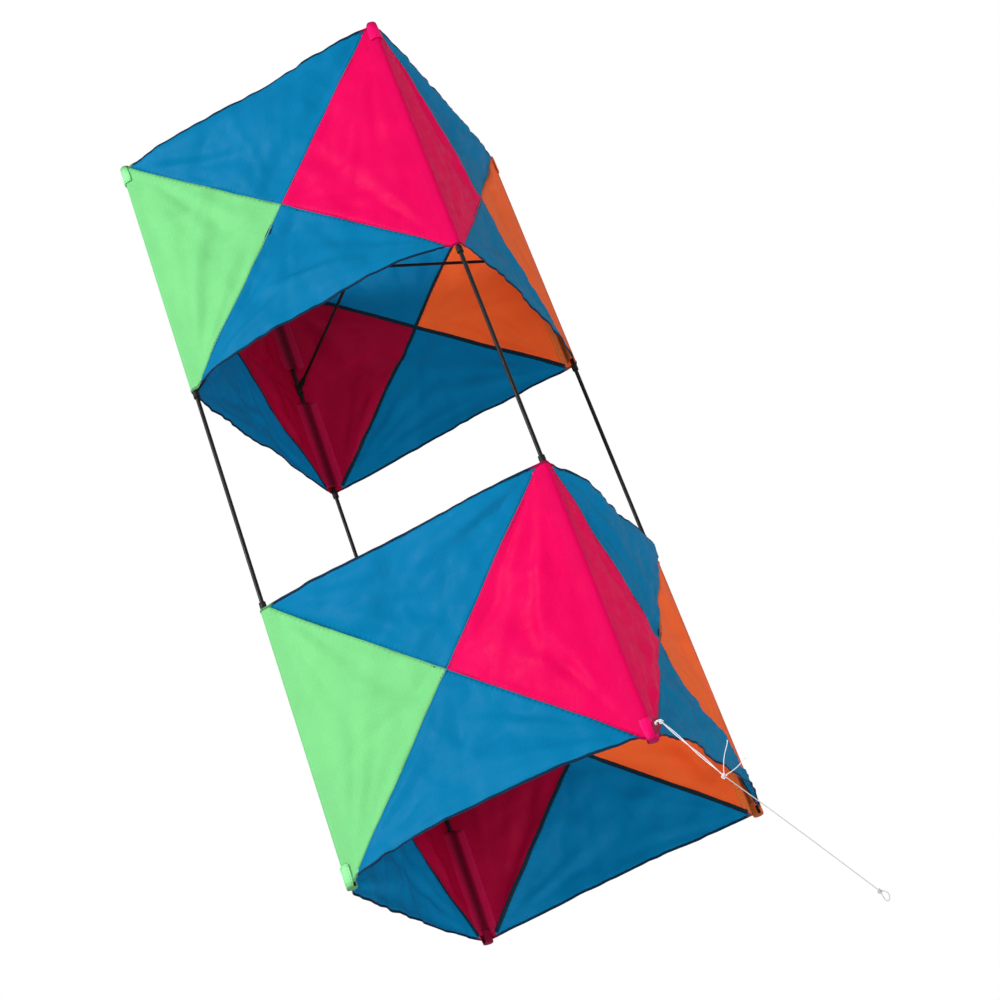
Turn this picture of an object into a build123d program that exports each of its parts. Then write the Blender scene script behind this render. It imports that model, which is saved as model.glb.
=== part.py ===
from build123d import *
import math
import os

# Two-cell box kite: four full-length spars, crossed spreader rods in each cell, and two square
# sails sewn from triangles and diamonds. The spars run along Z. The origin is the tow hole in
# front of the front spar's foot, where the line is tied.

# Spars and the square they stand on
side = 365.0
spar_length = 996.0
spar_diameter = 5.0
spar_fit = 0.05

# Sail cells
cell_height = 345.0
cell_margin = 4.0
sail_thickness = 0.8
hem_height = 3.0
hem_thickness = 1.6
sleeve_window = 48.0

# Caps, stops and pockets at the spars
cap_length = 16.0
cap_end = 2.0
cap_diameter = 8.0
stop_length = 8.0
stop_gap = 0.3
pocket_thickness = 0.8
pocket_height = 26.0
pocket_width = 16.0
pocket_floor_depth = 22.0

# Spreader rods and their end fittings
rod_diameter = 4.0
rod_fit = 0.05
rod_crossing_gap = 0.4
collar_diameter = 8.0
collar_length = 16.0
collar_sail_gap = 0.3
stem_diameter = 7.0
stem_length = 22.0
socket_web = 1.5
rod_end_gap = 0.5

# Tow tab and line
tab_thickness = 2.0
tab_height = 14.0
tab_hole_diameter = 5.0
tab_reach = 8.0
tab_rim = 4.0
tab_gap = 0.2
tow_hole_height = 11.0
hitch_cord_diameter = 1.8
hitch_radius = 4.0
hitch_knot_radius = 2.4
bridle_diameter = 2.4
line_diameter = 1.2
tow_knot_radius = 3.0
tail_diameter = 1.0
end_loop_radius = 6.0
end_knot_radius = 2.4

# Points of the line, from the tow hole outwards
hitch_knot_point = (0.0, -9.8, -2.0)
tow_knot_point = (0.0, -80.0, -101.0)
line_route = [(0.0, -80.0, -101.0), (0.0, -158.0, -195.0), (0.0, -242.0, -300.0)]
knot_tails = [(21.0, 3.0, 38.0), (30.0, -4.0, 13.0)]

# Sizes worked out from the values above
half_diagonal = side / math.sqrt(2)
sail_offset = collar_diameter / 2 + collar_sail_gap
sail_inner = side / 2 + sail_offset
sail_outer = sail_inner + sail_thickness
hem_outer = sail_inner + hem_thickness
pocket_inner = hem_outer
pocket_outer = pocket_inner + pocket_thickness
spar_foot = pocket_thickness + cap_end
spar_top = spar_foot + spar_length
kite_top = spar_top + cap_end + pocket_thickness
cell_bottoms = {"lower": cell_margin, "upper": kite_top - cell_margin - cell_height}
rod_rise = (rod_diameter + rod_crossing_gap) / 2
tow_distance = pocket_outer * math.sqrt(2) + tab_gap + tab_reach
corners = {"right": 0, "back": 90, "left": 180, "front": 270}
faces = {"right_back": 45, "left_back": 135, "left_front": 225, "right_front": 315}
spreaders = {"side": (("left", "right"), rod_rise), "keel": (("front", "back"), -rod_rise)}


def in_place(shape):
    """Moves a shape from the middle of the four spars' feet to the kite's own frame."""
    return Pos(0, tow_distance, -tow_hole_height) * shape


def at_corner(shape, corner):
    """Turns a shape drawn at the right-hand corner to another corner."""
    return Rot(0, 0, corners[corner]) * shape


def write(node, solids):
    """Writes one node's solids to its own STEP file."""
    shape = Compound(children=[in_place(solid) for solid in solids])
    export_step(shape, f"parts/{node}.step")


def rod_between(start, end, diameter):
    """A straight round rod between two points."""
    along = Vector(*end) - Vector(*start)
    plane = Plane(origin=Vector(*start), z_dir=along.normalized())
    return extrude(plane * Circle(diameter / 2), along.length)


def ring_strip(inner, outer, low, high, face):
    """One side of a square band, mitred at both corners, between two heights."""
    plan = Polygon((inner, -inner), (outer, -outer), (outer, outer), (inner, inner), align=None)
    return Rot(0, 0, faces[face]) * extrude(Plane.XY.offset(low) * plan, high - low)


def face_wedge(face, low, high, part):
    """The space behind one triangle of a face, with its point at the face's middle."""
    middle = (low + high) / 2
    reach = 2 * sail_outer
    rise = (high - low)
    points = {
        "top": [(0, middle), (reach, middle + rise), (-reach, middle + rise)],
        "bottom": [(0, middle), (-reach, middle - rise), (reach, middle - rise)],
        "ahead": [(0, middle), (reach, middle - rise), (reach, middle + rise)],
        "behind": [(0, middle), (-reach, middle + rise), (-reach, middle - rise)],
    }[part]
    start = Plane(origin=(sail_inner - 1, 0, 0), x_dir=(0, 1, 0), z_dir=(1, 0, 0))
    wedge = extrude(start * Polygon(*points, align=None), sail_thickness + 2)
    return Rot(0, 0, faces[face]) * wedge


def sail_piece(face, bottom, part):
    """One triangle of sail on one face of a cell."""
    low = bottom + hem_height
    high = bottom + cell_height - hem_height
    sheet = ring_strip(sail_inner, sail_outer, low, high, face)
    return (sheet & face_wedge(face, low, high, part)).solids()[0]


def hem(low):
    """The four strips of rolled edge round one end of a cell."""
    return [ring_strip(sail_inner, hem_outer, low, low + hem_height, face) for face in faces]


def sleeve_strip(low, high):
    """The strip across the inside of the right-hand corner that holds the spar in its fold."""
    near = half_diagonal - sail_offset
    far = near - sail_thickness
    reach = sail_inner * math.sqrt(2)
    plan = Polygon(
        (near, -(reach - near)), (near, reach - near), (far, reach - far), (far, -(reach - far)), align=None
    )
    return extrude(Plane.XY.offset(low) * plan, high - low)


def tube_on_spar(diameter, low, high, bore_low, bore_high):
    """A round sleeve on the right-hand spar, bored between two heights."""
    place = Pos(half_diagonal, 0, 0)
    body = extrude(place * Plane.XY.offset(low) * Circle(diameter / 2), high - low)
    bore = extrude(place * Plane.XY.offset(bore_low) * Circle(spar_diameter / 2 + spar_fit), bore_high - bore_low)
    return body - bore


def pocket(floor, rim):
    """A webbing pocket folded round the corner, closed across the spar's end at its floor."""
    low, high = min(floor, rim), max(floor, rim)
    start = Plane(origin=(0, 0, low))
    edge = pocket_inner - pocket_width
    wall = Polygon(
        (pocket_inner, edge), (pocket_outer, edge), (pocket_outer, pocket_outer), (edge, pocket_outer),
        (edge, pocket_inner), (pocket_inner, pocket_inner), align=None
    )
    inset = pocket_outer - pocket_floor_depth / math.sqrt(2)
    base = Polygon(
        (pocket_outer, inset), (pocket_outer, pocket_outer), (inset, pocket_outer), (inset, inset), align=None
    )
    walls = extrude(start * wall, high - low)
    base_low = low if floor < rim else high - pocket_thickness
    plate = extrude(Plane(origin=(0, 0, base_low)) * base, pocket_thickness)
    return Rot(0, 0, -45) * (walls + plate)


def fitting(height):
    """A moulded end fitting: a collar on the right-hand spar with a socket for the rod."""
    middle = Pos(half_diagonal, 0, height)
    collar = middle * Cylinder(collar_diameter / 2, collar_length)
    stem_start = Plane(origin=(half_diagonal, 0, height), z_dir=(-1, 0, 0))
    stem = extrude(stem_start * Circle(stem_diameter / 2), stem_length)
    body = fillet((collar + stem).edges().filter_by(GeomType.CIRCLE), 0.4)
    spar_bore = middle * Cylinder(spar_diameter / 2 + spar_fit, 2 * collar_length)
    socket_start = collar_diameter / 2 + socket_web
    socket_plane = stem_start.offset(socket_start)
    socket = extrude(socket_plane * Circle(rod_diameter / 2 + rod_fit), stem_length)
    return body - spar_bore - socket


def spreader_rod(height):
    """A spreader rod lying between the left-hand and right-hand fittings."""
    reach = half_diagonal - collar_diameter / 2 - socket_web - rod_end_gap
    return rod_between((-reach, 0, height), (reach, 0, height), rod_diameter)


def tow_tab():
    """The webbing tab in front of the front corner, with the hole that the line is tied in."""
    back = tab_reach
    plate = Pos(0, (back - tab_rim) / 2 - tab_rim / 4, 0) * Box(tab_thickness, back + tab_rim * 1.5, tab_height)
    hole = Rot(0, 90, 0) * Cylinder(tab_hole_diameter / 2, 2 * tab_thickness)
    rounded = fillet(plate.edges().filter_by(Axis.X).group_by(Axis.Y)[0], tab_rim)
    return rounded - hole


def hitch():
    """The line's hitch: a turn of cord through the tow hole, with its knot."""
    turn = Pos(0, -hitch_radius - 0.5, 0) * Torus(hitch_radius, hitch_cord_diameter / 2)
    return Pos(*hitch_knot_point) * Sphere(hitch_knot_radius) + turn


def knot_with_tails():
    """The knot that joins the doubled bridle to the line, with its two cut tails."""
    start = Vector(*tow_knot_point)
    body = Pos(start) * Sphere(tow_knot_radius)
    for tail in knot_tails:
        body += rod_between(start, start + Vector(*tail), tail_diameter)
    return body


def line_tube(points, diameter):
    """A cord along straight runs, with the widest arcs that its runs allow."""
    corners_between = list(zip(points, points[1:], points[2:]))
    radii = []
    for before, here, after in corners_between:
        run_in = Vector(*here) - Vector(*before)
        run_out = Vector(*after) - Vector(*here)
        turn = math.radians(run_in.get_angle(run_out))
        radii.append(0.45 * min(run_in.length, run_out.length) / math.tan(turn / 2))
    path = FilletPolyline(*points, radius=radii)
    tube = sweep(Plane(origin=path @ 0, z_dir=path % 0) * Circle(diameter / 2), path=path)
    print("line radii", [round(radius) for radius in radii], "length", round(path.length, 1))
    print("tube volume", round(tube.volume, 2), "of", round(math.pi * diameter**2 / 4 * path.length, 2))
    return tube


def end_loop():
    """The loop at the far end of the line, with the knot that closes it."""
    last = Vector(*line_route[-1])
    along = (last - Vector(*line_route[-2])).normalized()
    middle = last + along * (end_knot_radius + end_loop_radius)
    loop_plane = Plane(origin=middle, x_dir=along, z_dir=(1, 0, 0))
    loop = loop_plane * Torus(end_loop_radius, line_diameter / 2)
    return Pos(last) * Sphere(end_knot_radius) + loop


os.makedirs("parts", exist_ok=True)

spar = rod_between((half_diagonal, 0, spar_foot), (half_diagonal, 0, spar_top), spar_diameter)
for corner in corners:
    write(f"{corner}_spar", [at_corner(spar, corner)])

foot_cap = tube_on_spar(
    cap_diameter, pocket_thickness, pocket_thickness + cap_length, spar_foot, spar_foot + cap_length
)
top_cap = tube_on_spar(
    cap_diameter, spar_top + cap_end - cap_length, spar_top + cap_end, spar_top - cap_length, spar_top
)
write("foot_caps", [at_corner(foot_cap, corner) for corner in corners])
write("top_caps", [at_corner(top_cap, corner) for corner in corners])
foot_pocket = pocket(0, pocket_height)
top_pocket = pocket(kite_top, kite_top - pocket_height)
write("foot_pockets", [at_corner(foot_pocket, corner) for corner in corners])
write("top_pockets", [at_corner(top_pocket, corner) for corner in corners])

for cell, bottom in cell_bottoms.items():
    top = bottom + cell_height
    write(f"{cell}_cell_bottom_hem", hem(bottom))
    write(f"{cell}_cell_top_hem", hem(top - hem_height))
    for face in faces:
        write(f"{cell}_{face}_top_panel", [sail_piece(face, bottom, "top")])
        write(f"{cell}_{face}_bottom_panel", [sail_piece(face, bottom, "bottom")])
    for corner, angle in corners.items():
        face_after = next(face for face, turn in faces.items() if (turn - angle) % 360 == 45)
        face_before = next(face for face, turn in faces.items() if (angle - turn) % 360 == 45)
        wings = [sail_piece(face_after, bottom, "behind"), sail_piece(face_before, bottom, "ahead")]
        write(f"{cell}_{corner}_diamond", wings)
    stop_low = top + stop_gap if cell == "lower" else bottom - stop_gap - stop_length
    stop = tube_on_spar(cap_diameter, stop_low, stop_low + stop_length, stop_low, stop_low + stop_length)
    write(f"{cell}_sleeve_stops", [at_corner(stop, corner) for corner in corners])
    middle = bottom + cell_height / 2
    for name, (ends, rise) in spreaders.items():
        height = middle + rise
        write(f"{cell}_{name}_fittings", [at_corner(fitting(height), corner) for corner in ends])
        write(f"{cell}_{name}_rod", [at_corner(spreader_rod(height), ends[1])])

for corner in corners:
    strips = []
    for bottom in cell_bottoms.values():
        middle = bottom + cell_height / 2
        strips.append(sleeve_strip(bottom + hem_height, middle - sleeve_window / 2))
        strips.append(sleeve_strip(middle + sleeve_window / 2, bottom + cell_height - hem_height))
    write(f"{corner}_sleeves", [at_corner(strip, corner) for strip in strips])

# The tow tab and line are drawn from the tow hole, which is the kite's origin.
line_pieces = {
    "tow_tab": tow_tab(),
    "tow_hitch": hitch(),
    "bridle_line": rod_between(hitch_knot_point, tow_knot_point, bridle_diameter),
    "tow_knot": knot_with_tails(),
    "flying_line": line_tube(line_route, line_diameter),
    "line_end_loop": end_loop(),
}
for node, piece in line_pieces.items():
    export_step(piece, f"parts/{node}.step")
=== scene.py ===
import math

import bmesh
import bpy
import numpy as np
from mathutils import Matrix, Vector, noise


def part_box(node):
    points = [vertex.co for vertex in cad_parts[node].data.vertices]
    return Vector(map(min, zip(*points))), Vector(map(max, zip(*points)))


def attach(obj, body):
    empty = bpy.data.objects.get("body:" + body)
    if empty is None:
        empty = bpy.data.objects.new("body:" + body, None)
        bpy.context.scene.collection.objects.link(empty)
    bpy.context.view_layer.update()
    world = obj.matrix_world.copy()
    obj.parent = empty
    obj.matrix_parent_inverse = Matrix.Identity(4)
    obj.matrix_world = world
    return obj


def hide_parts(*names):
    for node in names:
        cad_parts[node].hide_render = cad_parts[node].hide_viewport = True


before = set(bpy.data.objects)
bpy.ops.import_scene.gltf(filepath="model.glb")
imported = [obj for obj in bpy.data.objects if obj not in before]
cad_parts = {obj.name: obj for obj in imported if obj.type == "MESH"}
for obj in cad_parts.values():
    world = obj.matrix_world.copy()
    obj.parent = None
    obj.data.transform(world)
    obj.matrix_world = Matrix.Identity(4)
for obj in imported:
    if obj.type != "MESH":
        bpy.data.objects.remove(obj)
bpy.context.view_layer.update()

# The studio: a pale floor well below the kite, a white surround and four soft lamps.
# The camera stands low, in front and to the left, and looks up at the kite along its line.
eye = bpy.data.objects.new("camera", bpy.data.cameras.new("camera"))
eye.location = (-1.18706, -1.88488, -0.84200)
eye.rotation_euler = (2.07490, 0.32173, -0.35862)
eye.data.lens = 83.08
bpy.context.scene.collection.objects.link(eye)
bpy.context.scene.camera = eye
bpy.context.scene.view_settings.view_transform = "Standard"

NODE_FAMILIES = {"shader": "ShaderNode", "geometry": "GeometryNode", "function": "FunctionNode"}


def node(tree, kind, inputs=None, family="shader", **settings):
    """Adds one node, with its settings, and its inputs either set or linked."""
    made = tree.nodes.new(NODE_FAMILIES[family] + kind)
    for key, value in settings.items():
        setattr(made, key, value)
    for key, value in (inputs or {}).items():
        if isinstance(value, bpy.types.NodeSocket):
            tree.links.new(value, made.inputs[key])
        else:
            made.inputs[key].default_value = value
    return made


def math_node(tree, operation, first, second=0.0, third=0.0, clamp=False):
    """One sum of two or three numbers or links."""
    parts = {0: first, 1: second, 2: third}
    return node(tree, "Math", parts, operation=operation, use_clamp=clamp).outputs[0]


def blended(tree, factor, first, second, blend_type="MIX"):
    """One mix of two colours."""
    mixed = node(tree, "Mix", {0: factor, 6: first, 7: second}, data_type="RGBA", blend_type=blend_type)
    return mixed.outputs[2]


def new_finish(name):
    """A material with only its output, and its node tree."""
    finish = bpy.data.materials.new(name)
    finish.use_nodes = True
    tree = finish.node_tree
    tree.nodes.clear()
    return finish, tree, tree.nodes.new("ShaderNodeOutputMaterial")


surround = bpy.data.worlds.new("surround")
surround.use_nodes = True
sky = surround.node_tree
seen = node(sky, "LightPath").outputs["Is Camera Ray"]
daylight = 0.56
brightness = math_node(sky, "MULTIPLY_ADD", seen, 1 - daylight, daylight)
sky.links.new(brightness, sky.nodes["Background"].inputs["Strength"])
sky.nodes["Background"].inputs["Color"].default_value = (1, 1, 1, 1)
bpy.context.scene.world = surround

kite_middle = Vector((0, 0.28, 0.45))
for lamp_name, place, power, width, warmth in (
    ("key_lamp", (-1.62, -2.35, -1.0), 40, 0.9, (1.0, 0.99, 0.97)),
    ("raking_lamp", (-3.6, -0.3, 1.9), 122, 0.6, (1.0, 1.0, 1.0)),
    ("fill_lamp", (1.8, -1.9, -0.6), 20, 1.0, (1.0, 0.88, 0.76)),
    ("back_lamp", (1.0, 3.4, 1.0), 40, 1.2, (1.0, 1.0, 1.0)),
):
    lamp = bpy.data.lights.new(lamp_name, "AREA")
    lamp.energy, lamp.size, lamp.color = power, width, warmth
    lamp_object = bpy.data.objects.new(lamp_name, lamp)
    lamp_object.location = place
    toward = kite_middle - Vector(place)
    lamp_object.rotation_euler = toward.to_track_quat("-Z", "Y").to_euler()
    bpy.context.scene.collection.objects.link(lamp_object)

floor_half, floor_height = 9, -1.6
floor_mesh = bpy.data.meshes.new("floor")
floor_mesh.from_pydata(
    [(across * floor_half, along * floor_half, floor_height)
     for across, along in ((-1, -1), (1, -1), (1, 1), (-1, 1))], [], [(0, 1, 2, 3)])
floor = bpy.data.objects.new("floor", floor_mesh)
bpy.context.scene.collection.objects.link(floor)
floor_finish, tree, output = new_finish("pale_floor")
cloudy = node(tree, "TexNoise", {"Vector": node(tree, "TexCoord").outputs["Object"], "Scale": 3.0})
pale = blended(tree, cloudy.outputs[0], (0.80, 0.80, 0.80, 1), (0.84, 0.84, 0.84, 1))
shader = node(tree, "BsdfPrincipled", {"Base Color": pale, "Roughness": 0.8})
tree.links.new(shader.outputs[0], output.inputs[0])
floor_mesh.materials.append(floor_finish)

# The four spars and four spreader rods: pultruded glass fibre rod, black and satin, 5 and 4 mm.
# The spars stand in the sail's corner sleeves; the rods press into the end fittings.
CELLS = ("lower", "upper")
CORNERS = ("right", "back", "left", "front")
LOOK = (("Color", "Color"), ("Roughness", "Float"), ("Height", "Float"))


def group(name, inputs, outputs=LOOK, kind="ShaderNodeTree"):
    """An empty node group with named sockets, its inputs, and its inner output node."""
    tree = bpy.data.node_groups.new(name, kind)
    for title, socket_type, value in inputs:
        socket = tree.interface.new_socket(title, in_out="INPUT", socket_type="NodeSocket" + socket_type)
        if value is not None:
            socket.default_value = value
    for title, socket_type in outputs:
        tree.interface.new_socket(title, in_out="OUTPUT", socket_type="NodeSocket" + socket_type)
    return tree, tree.nodes.new("NodeGroupInput").outputs, tree.nodes.new("NodeGroupOutput")


def give(tree, result, color, roughness, height):
    """Links a look's colour, roughness and relief to its group's output."""
    for (title, _), link in zip(LOOK, (color, roughness, height)):
        tree.links.new(link, result.inputs[title])


def use_group(tree, shared, inputs):
    """Places a shared group in a material."""
    return node(tree, "Group", inputs, node_tree=shared).outputs


def mapped(tree, value, low, high, to_low=0.0, to_high=1.0):
    """A value carried over from one range to another."""
    return node(tree, "MapRange", {0: value, 1: low, 2: high, 3: to_low, 4: to_high}).outputs[0]


grain, given, result = group(
    "grain",
    [("Stretched", "Vector", None), ("Base", "Color", (0, 0, 0, 1)), ("Worn", "Color", (0, 0, 0, 1)),
     ("Smoothest", "Float", 0.3), ("Roughest", "Float", 0.5)])
streaks = node(grain, "TexNoise", {"Vector": given["Stretched"], "Scale": 1.0, "Detail": 4.0})
patches = node(grain, "TexNoise", {"Vector": given["Stretched"], "Scale": 0.11, "Detail": 2.0})
wear = math_node(grain, "MULTIPLY", streaks.outputs[0], patches.outputs[0])
tone = mapped(grain, wear, 0.18, 0.42)
rough = mapped(grain, streaks.outputs[0], 0.3, 0.7, given["Smoothest"], given["Roughest"])
give(grain, result, blended(grain, tone, given["Base"], given["Worn"]), rough, streaks.outputs[0])


def surfaced(tree, look, strength, relief, specular, **own):
    """A surface with a shared group's colour, roughness and relief."""
    bump = node(tree, "Bump", {"Height": look["Height"], "Strength": strength, "Distance": relief})
    return node(tree, "BsdfPrincipled", {
        "Base Color": look["Color"], "Roughness": look["Roughness"], "Normal": bump.outputs[0],
        "Specular IOR Level": specular, **own}).outputs[0]


def grained(name, stretch, base, worn, roughness, relief, specular):
    """A hard finish whose grain is drawn out by stretch along each axis."""
    finish, tree, output = new_finish(name)
    place = node(tree, "TexCoord").outputs["Object"]
    drawn = node(tree, "VectorMath", {0: place, 1: stretch}, operation="MULTIPLY").outputs[0]
    look = use_group(tree, grain, {
        "Stretched": drawn, "Base": base, "Worn": worn, "Smoothest": roughness[0], "Roughest": roughness[1]})
    tree.links.new(surfaced(tree, look, 0.5, relief, specular), output.inputs[0])
    return finish


def refinish(node_name, finish):
    """Gives a CAD node its finish."""
    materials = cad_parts[node_name].data.materials
    if not len(materials):
        materials.append(finish)
    for place in range(len(materials)):
        materials[place] = finish


for direction, stretch, members in (
    ("upright", (2600, 2600, 25), [f"{corner}_spar" for corner in CORNERS]),
    ("across", (25, 2600, 2600), [f"{cell}_side_rod" for cell in CELLS]),
    ("fore_and_aft", (2600, 25, 2600), [f"{cell}_keel_rod" for cell in CELLS]),
):
    rod_finish = grained(
        f"fibre_rod_{direction}", stretch, base=(0.003, 0.003, 0.0035, 1), worn=(0.014, 0.014, 0.015, 1),
        roughness=(0.30, 0.48), relief=0.00004, specular=0.18)
    for member in members:
        refinish(member, rod_finish)

# The end caps, sleeve stops and end fittings: soft black vinyl mouldings pushed onto the rods.
# Each fitting has a collar that clips round a spar and a socket that holds a spreader rod.
vinyl = grained(
    "soft_vinyl", (420, 420, 420), base=(0.004, 0.004, 0.0045, 1), worn=(0.014, 0.014, 0.015, 1),
    roughness=(0.45, 0.65), relief=0.00012, specular=0.2)
for member in ["foot_caps", "top_caps"] + [
    f"{cell}_{kind}" for cell in CELLS for kind in ("sleeve_stops", "side_fittings", "keel_fittings")
]:
    refinish(member, vinyl)

# The sail: each cell is one band of thin coated ripstop nylon, sewn from twelve panels and wrapped
# round the four spars. A diamond folds round each corner; blue triangles fill the rest of each face.
FACES = ("right_back", "left_back", "left_front", "right_front")
spar_at = {corner: sum(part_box(f"{corner}_spar"), Vector()) / 2 for corner in CORNERS}
axis = Vector((spar_at["front"].x, (spar_at["front"].y + spar_at["back"].y) / 2, 0))
cloth_inset, hem_inset = 0.0004, 0.0015
cloth_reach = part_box("lower_right_back_bottom_panel")[1].x / math.sqrt(2) - cloth_inset
face_width = 2 * cloth_reach
corner_radius = 0.0052
sleeve_seam = 0.012
divisions, corner_columns = 72, 5
rows, corner_step = divisions + 1, 90 / (corner_columns - 1)
block = corner_columns + divisions + 1
columns = 4 * block
quarter_round = face_width - 2 * corner_radius + corner_radius * math.pi / 2
hem_scallop, hem_billow, unevenness = 0.009, 0.023, 0.0015
slack, seam_slack, wing_tightness = 0.0125, -0.001, 0.72
drawn_tight = {"upper": {"right_front": 0.80, "left_back": 0.85, "right_back": 0.62}, "lower": {}}


def cell_heights(cell):
    """The middle and half height of a cell, from its two hems."""
    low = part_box(f"{cell}_cell_bottom_hem")[0].z
    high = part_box(f"{cell}_cell_top_hem")[1].z
    return (low + high) / 2, (high - low) / 2 - hem_inset


def flat_band(cell, seed, filled):
    """The band, filled by this share: columns of points round the kite, and its flat measures."""
    middle, half = cell_heights(cell)
    points, flat = [], []
    for column in range(columns):
        turn, place = divmod(column, block)
        theta = math.radians(90 * turn)
        start = turn * quarter_round
        for share in np.linspace(-1, 1, rows):
            if place < corner_columns:
                psi = theta + math.radians(-45 + corner_step * place)
                away = (cloth_reach - corner_radius) * math.sqrt(2)
                point = axis + away * Vector((math.cos(theta), math.sin(theta), 0))
                point += corner_radius * Vector((math.cos(psi), math.sin(psi), 0))
                point.z = middle + half * share
                round_it = start + corner_radius * math.radians(corner_step * place)
            else:
                across = (place - corner_columns) / divisions
                along = sleeve_seam + (face_width - 2 * sleeve_seam) * across
                off_middle = 2 * across - 1
                open_share = 1 - off_middle ** 2
                fullness = math.sqrt(1 - drawn_tight[cell].get(FACES[turn], 0))
                bulge = filled * hem_billow * fullness * max(0.0, share ** 2 - off_middle ** 2)
                phi = theta + math.pi / 4
                outward = Vector((math.cos(phi), math.sin(phi), 0))
                sideways = Vector((-math.sin(phi), math.cos(phi), 0))
                point = axis + outward * cloth_reach + sideways * (along - face_width / 2)
                point.z = middle + half * share - hem_scallop * open_share * share ** 3
                uneven = noise.noise(Vector((along * 30, point.z * 30, seed + 7 * turn)))
                point += outward * (bulge + unevenness * open_share * uneven)
                round_it = start + corner_radius * math.pi / 2 + along - corner_radius
            points.append(point)
            flat.append((round_it, middle + half * share))
    return points, flat


def band_faces():
    """The band's faces, each with the panel that it belongs to."""
    found = {}
    for column in range(columns):
        turn, place = divmod(column, block)
        across = place - corner_columns
        after = (column + 1) % columns
        face, corner, next_corner = FACES[turn], CORNERS[turn], CORNERS[(turn + 1) % 4]
        for row in range(divisions):
            a, b = column * rows + row, after * rows + row
            quad = (a, b, b + 1, a + 1)
            if across < 0 or across == divisions:
                owner = corner if across < 0 else next_corner
                found.setdefault(f"{owner}_diamond", []).append(quad)
                continue
            other = divisions - 1 - row
            names = {"top": f"{face}_top_panel", "bottom": f"{face}_bottom_panel",
                     "near": f"{corner}_diamond", "far": f"{next_corner}_diamond"}
            lower_half = row < divisions / 2
            if across == row:
                split = ("bottom", "near") if lower_half else ("far", "top")
                found.setdefault(names[split[0]], []).append((a, b, b + 1))
                found.setdefault(names[split[1]], []).append((a, b + 1, a + 1))
            elif across == other:
                split = ("bottom", "far") if lower_half else ("near", "top")
                found.setdefault(names[split[0]], []).append((a, b, a + 1))
                found.setdefault(names[split[1]], []).append((b, b + 1, a + 1))
            else:
                below_rising, below_falling = row < across, across < other
                owner = {(1, 1): "bottom", (0, 0): "top", (0, 1): "near", (1, 0): "far"}
                found.setdefault(names[owner[(below_rising, below_falling)]], []).append(quad)
    return found


def new_object(name, points, faces, edges=()):
    """A mesh object at the origin."""
    mesh = bpy.data.meshes.new(name)
    mesh.from_pydata([tuple(point) for point in points], list(edges), faces)
    mesh.update()
    made = bpy.data.objects.new(name, mesh)
    bpy.context.scene.collection.objects.link(made)
    return made


def fill_with_wind(cell, points, faces):
    """Lets the slack panels fill and crease between their taut seams and the corner sleeves."""
    band = new_object(f"{cell}_band", points, faces)
    held = band.vertex_groups.new(name="held")
    tight = band.vertex_groups.new(name="tight")
    seam = band.vertex_groups.new(name="seam")
    for column in range(columns):
        turn, place = divmod(column, block)
        across = place - corner_columns
        if across <= 0 or across == divisions:
            held.add(range(column * rows, column * rows + rows), 1, "REPLACE")
        for row in range(rows if across >= 0 else 0):
            off_middle, off_level = abs(2 * across - divisions), abs(2 * row - divisions)
            tightness = wing_tightness
            if off_level > off_middle:
                tightness = drawn_tight[cell].get(FACES[turn], 0)
            if off_level == off_middle:
                tightness = 1
                seam.add([column * rows + row], 1, "REPLACE")
            tight.add([column * rows + row], tightness, "REPLACE")
    cloth = band.modifiers.new("cloth", "CLOTH")
    given = cloth.settings
    given.quality, given.mass, given.air_damping = 6, 0.02, 2
    given.tension_stiffness = given.compression_stiffness = 30
    given.shear_stiffness, given.bending_stiffness = 8, 0.02
    given.vertex_group_mass, given.vertex_group_shrink = "held", "tight"
    given.vertex_group_structural_stiffness = "seam"
    given.tension_stiffness_max = given.compression_stiffness_max = 250
    given.shrink_min, given.shrink_max = -slack, -seam_slack
    given.use_pressure, given.uniform_pressure_force = True, 0.5
    given.effector_weights.gravity = 0
    cloth.collision_settings.use_collision = False
    last_frame = 22
    cloth.point_cache.frame_start, cloth.point_cache.frame_end = 1, last_frame
    for step in range(1, last_frame + 1):
        bpy.context.scene.frame_set(step)
    filled = bpy.data.meshes.new_from_object(band.evaluated_get(bpy.context.evaluated_depsgraph_get()))
    shape = [vertex.co.copy() for vertex in filled.vertices]
    bpy.data.objects.remove(band)
    bpy.data.meshes.remove(filled)
    bpy.context.scene.frame_set(1)
    return shape


ripstop, given, result = group(
    "ripstop",
    [("Along", "Vector", None), ("Cloth", "Color", (0, 0, 0, 1)), ("Thread", "Color", (0, 0, 0, 1)),
     ("Grid", "Float", 0.005)])
weave_parts = node(ripstop, "SeparateXYZ", {0: given["Along"]}).outputs
lines, threads = [], []
for part in (weave_parts[0], weave_parts[1]):
    nearest = math_node(ripstop, "PINGPONG", math_node(ripstop, "DIVIDE", part, given["Grid"]), 0.5)
    lines.append(mapped(ripstop, nearest, 0.0, 0.10, 1.0, 0.0))
    threads.append(math_node(ripstop, "SINE", math_node(ripstop, "MULTIPLY", part, 9000.0)))
heavy = math_node(ripstop, "MAXIMUM", lines[0], lines[1])
fine = math_node(ripstop, "MULTIPLY", threads[0], threads[1])
mottle = node(ripstop, "TexNoise", {"Vector": given["Along"], "Scale": 16.0, "Detail": 3.0}).outputs[0]
crinkle = node(ripstop, "TexNoise", {
    "Vector": given["Along"], "Scale": 95.0, "Detail": 5.0, "Distortion": 0.8}).outputs[0]
share = math_node(ripstop, "MULTIPLY", heavy, 0.22)
mottled = mapped(ripstop, mottle, 0.35, 0.75, 0.0, 0.28)
share = math_node(ripstop, "ADD", share, mottled, clamp=True)
height = math_node(ripstop, "MULTIPLY_ADD", heavy, 0.14, crinkle)
height = math_node(ripstop, "MULTIPLY_ADD", fine, 0.03, height)
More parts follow.
